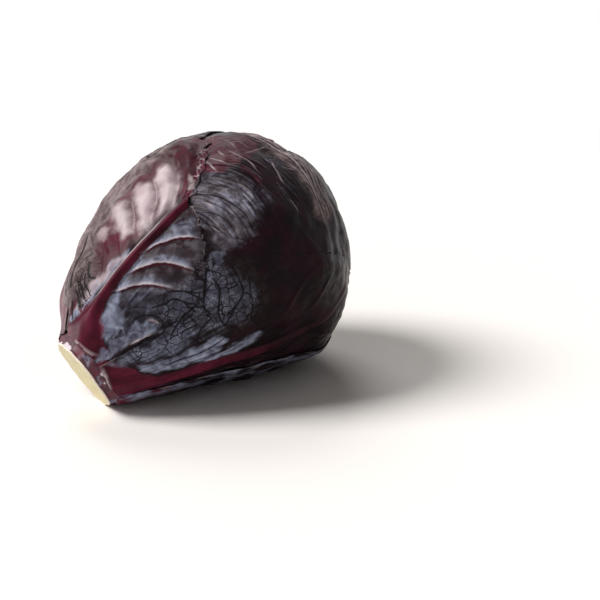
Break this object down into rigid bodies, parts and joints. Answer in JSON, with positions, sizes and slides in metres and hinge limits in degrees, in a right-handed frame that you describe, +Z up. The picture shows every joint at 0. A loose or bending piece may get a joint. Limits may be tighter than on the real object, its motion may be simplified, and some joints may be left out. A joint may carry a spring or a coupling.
{
  "type": "red cabbage",
  "caption": "Whole red cabbage head lying on its side, with a cut stem, overlapping wrapper leaves with raised midribs, and folded leaves around a heart inside",
  "frame": {"origin": "middle of the base of the head's box, on the surface that it rests on", "axes": "+X is the head's length, from the cut stem, low at -X, to the tip; +Z is up"},
  "size_m": [0.179, 0.1456, 0.1351],
  "materials": {
    "wrapper_leaf": "satin",
    "head_leaf": "satin",
    "heart": "satin",
    "stem": "matte"
  },
  "bodies": {
    "root": {"stem": "stem", "heart_bud": "heart", "head_leaf_1": "head_leaf", "head_leaf_2": "head_leaf", "head_leaf_3": "head_leaf", "head_leaf_4": "head_leaf", "head_leaf_5": "head_leaf", "head_leaf_6": "head_leaf", "head_leaf_7": "head_leaf", "head_leaf_8": "head_leaf", "head_leaf_9": "head_leaf", "head_leaf_10": "head_leaf", "wrapper_leaf_1": "wrapper_leaf", "wrapper_leaf_2": "wrapper_leaf", "wrapper_leaf_3": "wrapper_leaf", "wrapper_leaf_4": "wrapper_leaf", "wrapper_leaf_5": "wrapper_leaf", "wrapper_leaf_6": "wrapper_leaf", "wrapper_leaf_7": "wrapper_leaf", "wrapper_leaf_8": "wrapper_leaf"}
  },
  "joints": []
}
